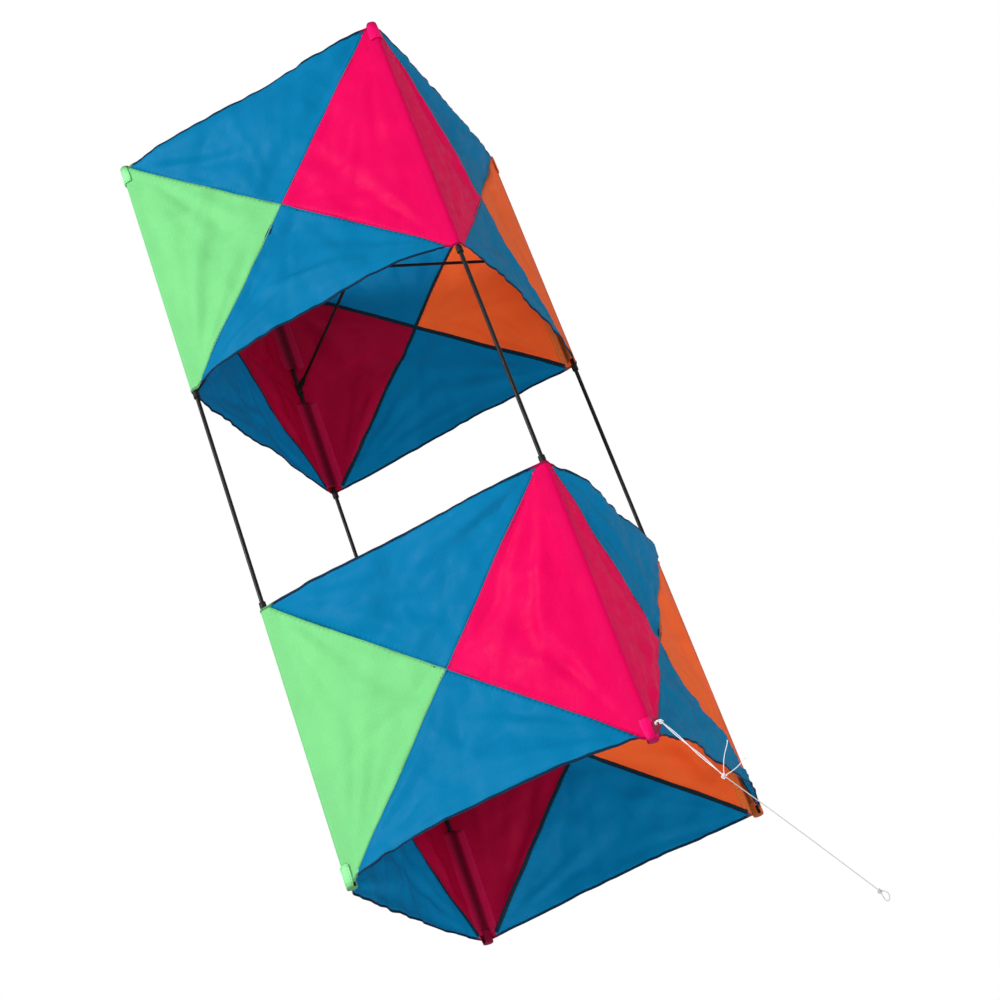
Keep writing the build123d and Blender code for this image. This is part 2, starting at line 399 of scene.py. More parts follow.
give(ripstop, result, blended(ripstop, share, given["Cloth"], given["Thread"]),
     mapped(ripstop, crinkle, 0.3, 0.7, 0.40, 0.58), height)


def nylon(name, colour, shaded, see_through, relief=0.0009, tinted=False):
    """Ripstop nylon that lets some light through. A tinted one takes its colour, with its painted shade, from
    the piece.
    """
    finish, tree, output = new_finish(name)
    along = node(tree, "UVMap", uv_map="cloth").outputs[0]
    cloth, thread = colour, shaded
    if tinted:
        cloth = node(tree, "Attribute", attribute_name="tint").outputs["Color"]
        thread = blended(tree, 1.0, cloth, (0.55, 0.55, 0.6, 1), "MULTIPLY")
    look = use_group(tree, ripstop, {"Along": along, "Cloth": cloth, "Thread": thread})
    front = surfaced(tree, look, strength=0.45, relief=relief, specular=0.5, IOR=1.15)
    if see_through:
        lighter = node(tree, "Gamma", {0: look["Color"], 1: 0.8}).outputs[0]
        bump = front.node.inputs["Normal"].links[0].from_socket
        through = node(tree, "BsdfTranslucent", {"Color": lighter, "Normal": bump}).outputs[0]
        front = node(tree, "MixShader", {0: see_through, 1: front, 2: through}).outputs[0]
    tree.links.new(front, output.inputs[0])
    return finish


CLOTH = {
    "blue": ((0.0010, 0.245, 0.490, 1), (0.0008, 0.175, 0.385, 1)),
    "green": ((0.265, 0.760, 0.310, 1), (0.200, 0.640, 0.245, 1)),
    "pink": ((0.870, 0.0010, 0.140, 1), (0.740, 0.0008, 0.085, 1)),
    "orange": ((0.930, 0.200, 0.048, 1), (0.830, 0.150, 0.034, 1)),
    "crimson": ((0.450, 0.0042, 0.058, 1), (0.270, 0.0028, 0.028, 1)),
}
DIAMOND = {"left": "green", "front": "pink", "right": "orange", "back": "crimson"}
nylons = {colour: nylon(f"ripstop_{colour}", *tones, 0.43) for colour, tones in CLOTH.items()}
# The folded pieces take their colours from their tint, which is painted shade.
folded_nylon = nylon("folded_ripstop", None, None, 0, 0.0004, tinted=True)


def set_cloth_map(made, flat):
    """Lays the flat cloth's own measures, in metres, on a piece."""
    layer = made.data.uv_layers.new(name="cloth")
    corners = np.zeros(len(made.data.loops), int)
    made.data.loops.foreach_get("vertex_index", corners)
    layer.data.foreach_set("uv", np.array(flat, np.float32)[corners].ravel())


crease_height, eased_edge, full_turn = 0.339, 0.03, 6.28
fan_begins, fan_fades, fan_size, middle_fan = 0.07, 0.19, 0.0030, 0.55
soft_waves, soft_size = 10, 0.018
corner_ridges, ridges = 12, 18
pucker_size, pucker_depth = 0.144, 0.016


def pull_lines(pick, along, upward, fans):
    """Fine waves that fan out from the corners and the middle of a face."""
    lift = 0
    for number, (fan_along, fan_up) in enumerate(fans):
        right, up = along - fan_along, upward - fan_up
        distance, angle = np.hypot(right, up), np.arctan2(up, right)
        strength = pick.uniform(0.6, 1.0) * (middle_fan if number == len(fans) - 1 else 1.0)
        begun = (distance / fan_begins) ** 2
        reach = begun / (1 + begun) * np.exp(-(distance / fan_fades) ** 2)
        for waves in (11, 17, 26, 37):
            size = fan_size * (11 / waves) ** 0.6
            lift = lift + strength * reach * size * np.sin(waves * angle + pick.uniform(0, full_turn))
    return lift


def soft_swell(pick, along, upward):
    """Broad soft waves that lean every way."""
    lift = 0
    for _ in range(soft_waves):
        lean, pace = pick.uniform(0, math.pi), pick.uniform(28, 75)
        level = along * math.cos(lean) + upward * math.sin(lean)
        lift = lift + soft_size / pace * np.sin(pace * level + pick.uniform(0, full_turn))
    return lift


def ridge(pick, along, upward, corner):
    """One sharp crease: from a corner towards the middle, or a short stray one if corner is None."""
    wide, tall = along.max(), upward.max()
    if corner:
        from_along, from_up = corner
        lean = math.atan2(tall / 2 - from_up, wide / 2 - from_along) + pick.uniform(-0.55, 0.55)
        begins, ends = pick.uniform(0.03, 0.10), pick.uniform(0.16, 0.30)
    else:
        from_along, from_up = pick.uniform(0.1, 0.9) * wide, pick.uniform(0.1, 0.9) * tall
        lean = pick.normal(0.35, 0.35)
        begins, ends = -0.05, pick.uniform(0.04, 0.09)
    right, up = along - from_along, upward - from_up
    onward = right * math.cos(lean) + up * math.sin(lean)
    aside = up * math.cos(lean) - right * math.sin(lean) + 0.05 * pick.normal() * onward ** 2 / 0.1
    width, height = pick.uniform(0.006, 0.011), pick.uniform(0.0013, 0.0031)
    middle_run, half_run = (begins + ends) / 2, (ends - begins) / 2
    fade = np.clip(1 - ((onward - middle_run) / half_run) ** 2, 0, 1) ** 1.5
    return height * fade * np.exp(-(aside / width) ** 2) * pick.choice([-1, 1], p=[0.35, 0.65])


def puckers(pick, along, edge):
    """Small gathers along a hem, where edge is the distance from it."""
    lift = 0
    for pace in (150, 235, 330):
        swell = 0.5 + 0.5 * np.sin(along * 21 + pick.uniform(0, full_turn))
        gather = np.sin(pace * along + 40 * edge + pick.uniform(0, full_turn))
        lift = lift + pucker_size / pace * swell * np.exp(-edge / pucker_depth) * gather
    return lift


def creased(points, seed):
    """Pull lines that fan out from where a face is held, soft waves, and puckers along its hems."""
    band = new_object("unsewn", points, every_face)
    away = np.array([tuple(normal.vector) for normal in band.data.vertex_normals]).reshape(columns, rows, 3)
    bpy.data.objects.remove(band)
    shape = np.array([tuple(point) for point in points]).reshape(columns, rows, 3)
    pick = np.random.default_rng(seed)
    along = np.linspace(0, 1, rows)[:, None] * (face_width - 2 * sleeve_seam)
    upward = np.linspace(0, 1, rows)[None, :] * crease_height
    wide, tall = along.max(), upward.max()
    held_back = np.clip(np.minimum(along, wide - along) / eased_edge, 0, 1) ** 1.5
    fans = [(0, 0), (0, tall), (wide, 0), (wide, tall), (wide / 2, tall / 2)]
    for turn in range(4):
        lift = pull_lines(pick, along, upward, fans) + soft_swell(pick, along, upward)
        for number in range(ridges):
            lift += ridge(pick, along, upward, fans[number % 4] if number < corner_ridges else None)
        for edge in (upward, tall - upward):
            lift += puckers(pick, along, edge)
        first = turn * block + corner_columns
        shape[first:first + rows] += away[first:first + rows] * (lift * held_back)[:, :, None]
    return [tuple(point) for point in shape.reshape(-1, 3)]


def thicken(made, thickness):
    """Gives a sheet its thickness, half to each side."""
    wall = made.modifiers.new("thickness", "SOLIDIFY")
    wall.thickness, wall.offset = thickness, 0.0


sail = {}
half_way_round, cloth_thickness = 2 * (face_width - 2 * corner_radius), 0.0003
for cell, seed in (("lower", 11.3), ("upper", 3.1)):
    panel_faces = band_faces()
    every_face = [face for faces in panel_faces.values() for face in faces]
    points, flat = flat_band(cell, seed, filled=0.5)
    points = fill_with_wind(cell, points, every_face)
    points = creased(points, int(seed * 10))
    whole = new_object("whole", points, every_face)
    normals = np.array([tuple(normal.vector) for normal in whole.data.vertex_normals])
    bpy.data.objects.remove(whole)
    sail[cell] = (
        np.array([tuple(point) for point in points]).reshape(columns, rows, 3),
        normals.reshape(columns, rows, 3),
        np.array(flat).reshape(columns, rows, 2),
    )
    for part, faces in panel_faces.items():
        used = sorted({corner for face in faces for corner in face})
        order = {old: new for new, old in enumerate(used)}
        panel = new_object(
            f"{cell}_{part}_cloth", [points[old] for old in used],
            [[order[corner] for corner in face] for face in faces])
        flat_points = np.array([flat[old] for old in used])
        if part == "right_diamond":
            flat_points[flat_points[:, 0] > half_way_round, 0] -= 4 * quarter_round
        set_cloth_map(panel, flat_points)
        panel.data.shade_smooth()
        colour = DIAMOND[part.split("_")[0]] if part.endswith("diamond") else "blue"
        panel.data.materials.append(nylons[colour])
        wide, tall = np.ptp(flat_points, axis=0)
        thicken(panel, cloth_thickness)
        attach(panel, "kite_frame")
        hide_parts(f"{cell}_{part}")


# The seams: along each diagonal the two cloths are folded over each other on the inside and sewn down
# with two rows of thread, which leaves a raised strip inside, painted near black as painted shade, and a fine
# dotted line outside.
def skin(rings, closed=False):
    """Points and faces of a tube through closed rings of points, with flat ends unless it is closed."""
    count, around = len(rings), len(rings[0])
    faces = []
    for here in range(count if closed else count - 1):
        there = (here + 1) % count
        for side in range(around):
            beside = (side + 1) % around
            faces.append((here * around + side, here * around + beside,
                          there * around + beside, there * around + side))
    if not closed:
        faces.append(tuple(range(around))[::-1])
        faces.append(tuple(range((count - 1) * around, count * around)))
    return [point for ring in rings for point in ring], faces


def together(skins):
    """Several skins as one list of points and one of faces."""
    points, faces = [], []
    for more_points, more_faces in skins:
        faces += [[corner + len(points) for corner in face] for face in more_faces]
        points += list(more_points)
    return points, faces


def finished(made, finish, replaced=(), sharp=None):
    """Smooths a closed piece, turns its faces outwards, and gives it its finish and body."""
    shape = bmesh.new()
    shape.from_mesh(made.data)
    bmesh.ops.recalc_face_normals(shape, faces=shape.faces)
    shape.to_mesh(made.data)
    shape.free()
    made.data.shade_smooth()
    if sharp:
        made.data.set_sharp_from_angle(angle=math.radians(sharp))
    made.data.materials.append(finish)
    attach(made, "kite_frame")
    if replaced:
        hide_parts(*replaced)
    return made


def unit(vectors):
    """Vectors of length one."""
    return vectors / np.maximum(np.linalg.norm(vectors, axis=-1, keepdims=True), 1e-12)


sewing, given, result = group(
    "sewing",
    [("Seam line", "Geometry", None), ("Spacing", "Float", 0.0045), ("Stitch length", "Float", 0.003),
     ("Thread width", "Float", 0.0004), ("Thread", "Material", None), ("Seed", "Int", 5)],
    [("Stitches", "Geometry")], "GeometryNodeTree")
path = node(sewing, "MeshToCurve", {0: given["Seam line"]}, "geometry").outputs[0]
spots = node(
    sewing, "CurveToPoints", {"Curve": path, "Length": given["Spacing"]}, "geometry", mode="LENGTH").outputs
lie = node(sewing, "AlignRotationToVector", {"Vector": spots["Tangent"]}, "function", axis="Z").outputs[0]
bead = node(sewing, "MeshUVSphere", {"Segments": 6, "Rings": 4, "Radius": 0.5}, "geometry").outputs[0]
size = node(sewing, "CombineXYZ", {
    0: given["Thread width"], 1: given["Thread width"], 2: given["Stitch length"]}).outputs[0]
bead = node(sewing, "Transform", {"Geometry": bead, "Scale": size}, "geometry").outputs[0]
uneven = node(
    sewing, "RandomValue", {2: 0.85, 3: 1.1, "Seed": given["Seed"]}, "function", data_type="FLOAT").outputs[1]
placed = node(sewing, "InstanceOnPoints", {
    "Points": spots["Points"], "Instance": bead, "Rotation": lie, "Scale": uneven}, "geometry").outputs[0]
real = node(sewing, "RealizeInstances", {0: placed}, "geometry").outputs[0]
real = node(sewing, "SetShadeSmooth", {0: real}, "geometry").outputs[0]
real = node(sewing, "SetMaterial", {"Geometry": real, "Material": given["Thread"]}, "geometry").outputs[0]
sewing.links.new(real, result.inputs[0])


def sew(name, seam_lines, finish, slot, **measures):
    """Thread stitches along lines of points, as one plain mesh."""
    points, edges = [], []
    for seam_line in seam_lines:
        edges += [(len(points) + here, len(points) + here + 1) for here in range(len(seam_line) - 1)]
        points += list(seam_line)
    made = new_object(name, points, [], edges)
    modifier = made.modifiers.new("sewing", "NODES")
    modifier.node_group = sewing
    keys = {item.name: item.identifier for item in sewing.interface.items_tree if item.in_out == "INPUT"}
    modifier[keys["Thread"]] = finish
    for title, value in measures.items():
        modifier[keys[title.replace("_", " ")]] = value
    sewn = bpy.data.meshes.new_from_object(made.evaluated_get(bpy.context.evaluated_depsgraph_get()))
    made.modifiers.remove(modifier)
    made.data = sewn
    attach(made, "kite_frame")
    return made


spun, given, result = group(
    "spun_thread",
    [("Place", "Vector", None), ("Light", "Color", (1, 1, 1, 1)), ("Dark", "Color", (0, 0, 0, 1)),
     ("Fineness", "Float", 1500.0)])
fibres = node(spun, "TexNoise", {
    "Vector": given["Place"], "Scale": given["Fineness"], "Detail": 3.0}).outputs[0]
shade = mapped(spun, fibres, 0.3, 0.65)
give(spun, result, blended(spun, shade, given["Dark"], given["Light"]),
     mapped(spun, fibres, 0.3, 0.7, 0.6, 0.8), fibres)


def thread(name, light, dark, fineness=1500.0):
    """Spun polyester thread or cord."""
    finish, tree, output = new_finish(name)
    place = node(tree, "TexCoord").outputs["Object"]
    look = use_group(tree, spun, {"Place": place, "Light": light, "Dark": dark, "Fineness": fineness})
    tree.links.new(surfaced(tree, look, strength=0.4, relief=0.0002, specular=0.25), output.inputs[0])
    return finish


navy_thread = thread("navy_thread", (0.010, 0.045, 0.085, 1), (0.004, 0.018, 0.040, 1))
# Painted shade: the folded seam strip is coloured near black instead of its cloths' colours.
seam_painted_shade = (0.004, 0.020, 0.034)
seam_half, seam_rise, crossing_hump, crossing_half = 0.0026, 0.001, 0.0007, 1.6
inside_lift, outside_lift, seam_pucker = 0.00085, 0.00018, 0.10
seam_outline = ((-1, 0.25), (-0.9, 0.5), (-0.4, 0.85), (0, 0.8), (0.4, 0.85), (0.9, 0.5), (1, 0.25),
                (0.5, 0.14), (-0.5, 0.14))
stitch_row = 0.0017


def diagonal(cell, turn, rising):
    """One diagonal of a face: its points, its normals and the direction across it."""
    shape, normals, _ = sail[cell]
    first = turn * block + corner_columns
    steps = np.arange(rows)
    up = steps if rising else divisions - steps
    line, facing = shape[first + steps, up], unit(normals[first + steps, up])
    ahead = unit(np.gradient(line, axis=0))
    return line, facing, unit(np.cross(facing, ahead))


def set_strip_map(made, around, side_step, ring_step=0.005):
    """Lays cloth measures on a rolled strip, from ring to ring and round each ring."""
    set_cloth_map(made, [
        (ring_step * (place // around), side_step * (place % around))
        for place in range(len(made.data.vertices))])


def tinted(made, colours):
    """Gives each point of a piece its own colour: cloth colour darkened as painted shade."""
    tint = made.data.color_attributes.new("tint", "FLOAT_COLOR", "POINT")
    tint.data.foreach_set("color", np.array([(*colour, 1.0) for colour in colours], np.float32).ravel())


for cell in CELLS:
    for turn, face in enumerate(FACES):
        strips, thread_lines = [], []
        for rising in (True, False):
            line, facing, across = diagonal(cell, turn, rising)
            middle_hump = 0.0 if rising else crossing_hump
            hump = middle_hump * np.exp(-((np.arange(rows) - divisions / 2) / crossing_half) ** 2)
            rings = []
            for here in range(1, rows - 1):
                pucker = 1 + seam_pucker * noise.noise(Vector((here * 0.9, turn + 0.5, 4.0 * rising)))
                rings.append([
                    line[here] + across[here] * side * seam_half * pucker
                    - facing[here] * (rise * seam_rise + hump[here])
                    for side, rise in seam_outline])
            strips.append(skin(rings))
            for side in (-stitch_row, stitch_row):
                inside = line + across * side - facing * (inside_lift + hump)[:, None]
                outside = line + across * side + facing * outside_lift
                thread_lines += [inside[1:-1], outside[1:-1]]
        strip_points, strip_faces = together(strips)
        seam = new_object(f"{cell}_{face}_seams", strip_points, strip_faces)
        set_strip_map(seam, len(seam_outline), side_step=0.001)
        # The seam strip's near-black colour is painted shade.
        tinted(seam, [seam_painted_shade] * len(strip_points))
        finished(seam, folded_nylon)
        sew(f"{cell}_{face}_seam_stitches", thread_lines, navy_thread, "hem", Seed=3 + turn)

# The hems: both open edges of each cell are rolled twice and stitched, so they are thicker than the cloth;
# their colour is painted much darker as painted shade. Over the point of a diamond the roll is that diamond's
# own cloth.
# Painted shade: the hem's blue is far darker than the blue cloth it is rolled from.
HEM_BLUE_PAINTED_SHADE = (0.0015, 0.020, 0.050)
hem_outline = [
    (0.5 + 0.5 * math.cos(angle), math.sin(angle))
    for angle in np.linspace(0, 2 * math.pi, 12, endpoint=False)]
hem_roll, hem_beyond, hem_half_thickness = 0.0032, 0.0012, 0.0007
hem_stitch_inset, hem_stitch_lift, hem_pucker = 0.0014, 0.00095, 0.14


def painted_shade_cloth(corner, depth=0.32):
    """A diamond's cloth darkened by depth: painted shade for where it lies double."""
    return [part * depth for part in CLOTH[DIAMOND[corner]][0][:3]]


for cell in CELLS:
    shape, normals, _ = sail[cell]
    for edge, row, inner in (("bottom", 0, 1), ("top", divisions, divisions - 1)):
        down = unit(shape[:, row] - shape[:, inner])
        facing = unit(normals[:, row])
        rings, tints, stitches = [], [], []
        for column in range(columns):
            turn, place = divmod(column, block)
            across = place - corner_columns
            near_corner = across <= 1 or across >= divisions - 1
            corner = CORNERS[turn if across < divisions / 2 else (turn + 1) % 4]
            # Both hem colours are painted shade: the cloth's colour made much darker.
            colour = painted_shade_cloth(corner) if near_corner else HEM_BLUE_PAINTED_SHADE
            pucker = 1 + hem_pucker * noise.noise(Vector((column * 0.8, row, 2.0)))
            start = shape[column, row] + down[column] * hem_beyond
            rings.append([
                start - down[column] * (1 - reach) * hem_roll * pucker
                + facing[column] * side * hem_half_thickness * pucker
                for reach, side in hem_outline])
            tints += [colour] * len(hem_outline)
            sewn_at = shape[column, row] - down[column] * hem_stitch_inset
            lift = facing[column] * hem_stitch_lift
            stitches.append((sewn_at + lift, sewn_at - lift))
        hem = new_object(f"{cell}_{edge}_rolled_hem", *skin(rings, closed=True))
        set_strip_map(hem, len(hem_outline), side_step=0.0008)
        tinted(hem, tints)
        finished(hem, folded_nylon, [f"{cell}_cell_{edge}_hem"])
        thread_lines = [[*line, line[0]] for line in zip(*stitches)]
        sew(f"{cell}_{edge}_hem_stitches", thread_lines, navy_thread, "hem")

# The sleeves: a strip of the diamond's cloth sewn across the inside of each corner makes the tunnel
# that a spar stands in. It stops short of the cell's middle, where the end fitting grips the bare spar.
sleeve_window, sleeve_end_gap, sleeve_thickness = 0.024, 0.003, 0.00025
tunnel_outline = ((0.0068, 0.0030), (0.0040, 0.0043), (0, 0.0048), (-0.0040, 0.0043), (-0.0068, 0.0030))
seam_allowance = ((1.75, 0.0004), (0.9, 0.0005), (0.1, 0.0007))
sleeve_stitch_step, sleeve_stitch_lift, sleeve_stitch_spacing, sleeve_ease = 0.9, 0.0008, 0.0042, 0.0003
# Painted shadow of the black spar inside the tunnel: the strip's colour darkens towards its middle.
painted_spar_shadow = (1.0, 1.0, 0.85, 0.70, 0.36, 0.18, 0.36, 0.70, 0.85, 1.0, 1.0)


def grid_faces(tall, wide):
    """The faces of a grid of points, row by row."""
    return [(a * wide + b, a * wide + b + 1, (a + 1) * wide + b + 1, (a + 1) * wide + b)
            for a in range(tall - 1) for b in range(wide - 1)]


def on_face(cell, row, first, step, away, lift):
    """A point on a face's inside, some columns away from one of its sides."""
    shape, normals, _ = sail[cell]
    whole, part = int(away), away - int(away)
    near, beyond = first + step * whole, first + step * (whole + 1)
    here = shape[near, row] * (1 - part) + shape[beyond, row] * part
    return here - unit(normals[near, row]) * lift


for turn, corner in enumerate(CORNERS):
    outward = np.array([math.cos(math.radians(90 * turn)), math.sin(math.radians(90 * turn)), 0])
    sideways = np.array([-outward[1], outward[0], 0])
    spar = np.array(spar_at[corner]) * (1, 1, 0)
    next_face = turn * block + corner_columns
    last_face = ((turn - 1) % 4) * block + corner_columns + divisions
    sides = ((next_face, 1), (last_face, -1))
    for cell in CELLS:
        heights = sail[cell][2][next_face, :, 1]
        middle, half = cell_heights(cell)
        above_middle = heights - middle
        for end, wanted in (
            ("lower", (above_middle < -sleeve_window) & (heights > heights[0] + sleeve_end_gap)),
            ("upper", (above_middle > sleeve_window) & (heights < heights[-1] - sleeve_end_gap)),
        ):
            grid_points, stitches = [], []
            for row in np.flatnonzero(wanted):
                z = heights[row]
                ease = sleeve_ease * noise.noise(Vector((z * 60, turn * 3.0, 1.0)))
                tunnel = [spar + (0, 0, z) - outward * (depth + ease) + sideways * across
                          for across, depth in tunnel_outline]
                near_side, far_side = (
                    [on_face(cell, row, first, step, away, lift) for away, lift in seam_allowance]
                    for first, step in sides)
                grid_points.append([*near_side, *tunnel, *far_side[::-1]])
                stitches.append([
                    on_face(cell, row, first, step, sleeve_stitch_step, sleeve_stitch_lift)
                    for first, step in sides])
            tall, wide = len(grid_points), len(grid_points[0])
            sleeve = new_object(
                f"{cell}_{corner}_{end}_sleeve", [point for line in grid_points for point in line],
                grid_faces(tall, wide))
            width_steps = np.linalg.norm(np.diff(np.array(grid_points[tall // 2]), axis=0), axis=1)
            distance = np.concatenate([[0], np.cumsum(width_steps)])
            set_cloth_map(sleeve, [(part, z) for z in heights[wanted] for part in distance])
            # The sleeve's colour is painted shade: the diamond's cloth darkened, most of all over the spar.
            tinted(sleeve, [painted_shade_cloth(corner, tone * 0.9) for tone in painted_spar_shadow] * tall)
            sleeve.data.shade_smooth()
            sleeve.data.materials.append(folded_nylon)
            thicken(sleeve, sleeve_thickness)
            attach(sleeve, "kite_frame")
            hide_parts(f"{corner}_sleeves")
            sew(f"{cell}_{corner}_{end}_sleeve_stitches", list(zip(*stitches)), navy_thread,
                f"sail_{DIAMOND[corner]}", Spacing=sleeve_stitch_spacing)

# The end pockets: at both ends of every spar a piece of the diamond's cloth, folded double, wraps the
# corner and closes over the end cap, so that the spar stretches the sail. It is sewn on at its sides.
pocket_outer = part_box("foot_pockets")[1].x / math.sqrt(2)
pocket_width, pocket_fold, pocket_wall = 0.0125, 0.0075, 0.0007
pocket_columns, wall_rows, floor_rows, back_rows = 25, 12, 7, 6
fold_share, edge_draw, wall_draw, back_rise = 0.45, 0.34, 0.03, 0.62
pocket_inset, back_gap, back_bow, back_half_width = 0.0003, 0.0036, 0.0020, 0.0076
pocket_stitch_lift, draw_begins, flare_size = 0.00062, 0.8, 0.0004
pocket_column_step, pocket_row_step = 0.0014, 0.0022
pocket_reach = pocket_outer - pocket_wall / 2
pocket_shares = np.linspace(-1, 1, pocket_columns)


def pocket_profile(theta):
    """The pocket's wall in plan: round the corner, then along a face to each side."""
    profile = []
    for share in pocket_shares:
        if abs(share) < fold_share:
            psi = theta + share / fold_share * math.pi / 4
            away = (pocket_reach - pocket_fold) * math.sqrt(2)
            profile.append((away * math.cos(theta) + pocket_fold * math.cos(psi),
                            away * math.sin(theta) + pocket_fold * math.sin(psi)))
            continue
        side = math.copysign(1, share)
        phi = theta + side * math.pi / 4
        past_fold = (abs(share) - fold_share) / (1 - fold_share) * (pocket_width - pocket_fold)
        along = (pocket_fold - pocket_reach + past_fold) * side
        profile.append((pocket_reach * math.cos(phi) - along * math.sin(phi),
                        pocket_reach * math.sin(phi) + along * math.cos(phi)))
    return np.array(profile)


for end, floor_side in (("foot", 1), ("top", -1)):
    low, high = (corner.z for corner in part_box(f"{end}_pockets"))
    rim, closed_end = (high, low) if end == "foot" else (low, high)
    for turn, corner in enumerate(CORNERS):
        theta = math.radians(90 * turn)
        profile = pocket_profile(theta)
        outward = np.array([math.cos(theta), math.sin(theta)])
        sideways = np.array([-outward[1], outward[0]])
        back_at = math.hypot(spar_at[corner].x - axis.x, spar_at[corner].y - axis.y) - back_gap
        back_wall = np.array([
            outward * (back_at - back_bow * (1 - share * share)) + sideways * back_half_width * share
            for share in pocket_shares])
        points, flat_points, tones = [], [], []
        for row in range(wall_rows + floor_rows + back_rows):
            drop = min(1.0, row / (wall_rows - 1))
            if row < wall_rows:
                inwards = wall_draw * max(0.0, drop - draw_begins) / (1 - draw_begins)
                z = rim + (closed_end - rim) * drop
            elif row < wall_rows + floor_rows:
                across = (row - wall_rows + 1) / floor_rows
                inwards = wall_draw + (1 - wall_draw) * across
                z = closed_end - floor_side * pocket_inset * math.sin(math.pi * across)
            else:
                rise = (row - wall_rows - floor_rows + 1) / back_rows
                inwards = 1.0
                z = closed_end + (rim - closed_end) * rise * back_rise
            z += floor_side * (pocket_wall / 2 + pocket_inset) if row >= wall_rows - 1 else 0.0
            for column, share in enumerate(pocket_shares):
                flare = flare_size * math.sin(column * 1.3 + turn) * (1 - min(1.0, row / 5))
                place = profile[column] * (1 - inwards) + back_wall[column] * inwards
                beyond_fold = max(0.0, (abs(share) - fold_share) / (1 - fold_share))
                place = place - sideways * (place @ sideways) * edge_draw * beyond_fold * drop ** 3
                place = place * (1 + flare / np.linalg.norm(place))
                points.append((axis.x + place[0], axis.y + place[1], z))
                flat_points.append((pocket_column_step * column, pocket_row_step * row))
                # Painted shade: the pocket's cloth is darkened as doubled cloth, and gets darker still
                # towards its closed end.
                tones.append(painted_shade_cloth(corner, 0.92 - 0.55 * drop ** 4))
        pocket = new_object(
            f"{corner}_{end}_pocket", points, grid_faces(wall_rows + floor_rows + back_rows, pocket_columns))
        set_cloth_map(pocket, flat_points)
        tinted(pocket, tones)
        finished(pocket, folded_nylon, [f"{end}_pockets"])
        thicken(pocket, pocket_wall)
        wall = np.array(points).reshape(-1, pocket_columns, 3)[:wall_rows]
        lifted = [
            seam_line + unit((seam_line - tuple(axis)) * (1, 1, 0)) * pocket_stitch_lift
            for seam_line in (wall[:, 2], wall[:, -3], wall[1, 1:-1])]
        sew(f"{corner}_{end}_pocket_stitches", lifted, navy_thread, f"sail_{DIAMOND[corner]}",
            Spacing=0.0032, Stitch_length=0.0022)

# The tow tab: a short piece of crimson woven tape, folded double and sewn to the foot of the front corner.
# A round hole through it, edged with stitches, takes the line.
tape, given, result = group(
    "woven_tape",
    [("Place", "Vector", None), ("Light", "Color", (1, 1, 1, 1)), ("Dark", "Color", (0, 0, 0, 1)),
     ("Pick", "Float", 0.0011)])
tape_parts = node(tape, "SeparateXYZ", {0: given["Place"]}).outputs
count = math_node(tape, "DIVIDE", math.pi, given["Pick"])
leaning = math_node(tape, "ADD", tape_parts[1], tape_parts[2])
level = math_node(tape, "SUBTRACT", tape_parts[1], tape_parts[2])
weft = math_node(tape, "ABSOLUTE", math_node(tape, "SINE", math_node(tape, "MULTIPLY", leaning, count)))
warp = math_node(tape, "ABSOLUTE", math_node(tape, "SINE", math_node(tape, "MULTIPLY", level, count)))
woven = math_node(tape, "MULTIPLY", weft, warp)
fuzz = node(tape, "TexNoise", {"Vector": given["Place"], "Scale": 1800.0, "Detail": 3.0}).outputs[0]
lit = math_node(tape, "MULTIPLY", woven, math_node(tape, "ADD", fuzz, 0.4), clamp=True)
height = math_node(tape, "ADD", woven, math_node(tape, "MULTIPLY", fuzz, 0.4))
give(tape, result, blended(tape, lit, given["Dark"], given["Light"]),
     mapped(tape, fuzz, 0.3, 0.7, 0.65, 0.85), height)
tape_finish, tree, output = new_finish("tow_tape")
look = use_group(tree, tape, {
    "Place": node(tree, "TexCoord").outputs["Object"], "Light": (0.42, 0.008, 0.060, 1),
    "Dark": (0.090, 0.003, 0.014, 1)})
tree.links.new(surfaced(tree, look, strength=0.7, relief=0.0003, specular=0.2), output.inputs[0])

tab_low, tab_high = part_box("tow_tab")
tab_half = (tab_high.x - tab_low.x) / 2
hole_radius, tab_round, tab_sides, tab_sewn_in = 0.0025, 0.0045, 72, 0.0010
hole_seam, edge_seam, seam_lift = 0.0011, 0.0016, 0.0001
hole_bevel, edge_inset, edge_bevel = 0.0005, 0.0001, 0.0006
lows, highs = np.array([tab_low.y, tab_low.z]), np.array([tab_high.y + tab_sewn_in, tab_high.z])
rings, hole_line, edge_line = [], [], []
for angle in np.linspace(0, 2 * math.pi, tab_sides, endpoint=False):
    aim = np.array([math.cos(angle), math.sin(angle)])
    reach = min(
        (high if way > 0 else low) / way for way, low, high in zip(aim, lows, highs) if abs(way) > 1e-9)
    for side in (-1, 1) if aim[0] < 0 else ():
        centre = np.array([tab_low.y + tab_round, side * (tab_high.z - tab_round)])
        if aim[0] * reach < centre[0] and side * aim[1] * reach > side * centre[1]:
            along = aim @ centre
            reach = along + math.sqrt(max(0.0, along ** 2 - centre @ centre + tab_round ** 2))
    rings.append([
        (tab_half * thickness, *(aim * distance)) for distance, thickness in (
            (hole_radius, -0.55), (hole_radius + hole_bevel, -1.0), (reach - edge_bevel, -1.0),
            (reach - edge_inset, -0.6), (reach - edge_inset, 0.6), (reach - edge_bevel, 1.0),
            (hole_radius + hole_bevel, 1.0), (hole_radius, 0.55))])
    hole_line.append(aim * (hole_radius + hole_seam))
    edge_line.append(aim * (reach - edge_seam))
tab = new_object("tow_tape_tab", *skin(rings, closed=True))
finished(tab, tape_finish, ["tow_tab"], sharp=50)
tab_seams = [
    [(side * (tab_half + seam_lift), *spot) for spot in [*line, line[0]]]
    for line in (hole_line, edge_line) for side in (-1, 1)]
sew("tow_tab_stitches", tab_seams, navy_thread, "webbing",
    Spacing=0.0016, Stitch_length=0.0013, Thread_width=0.00035)

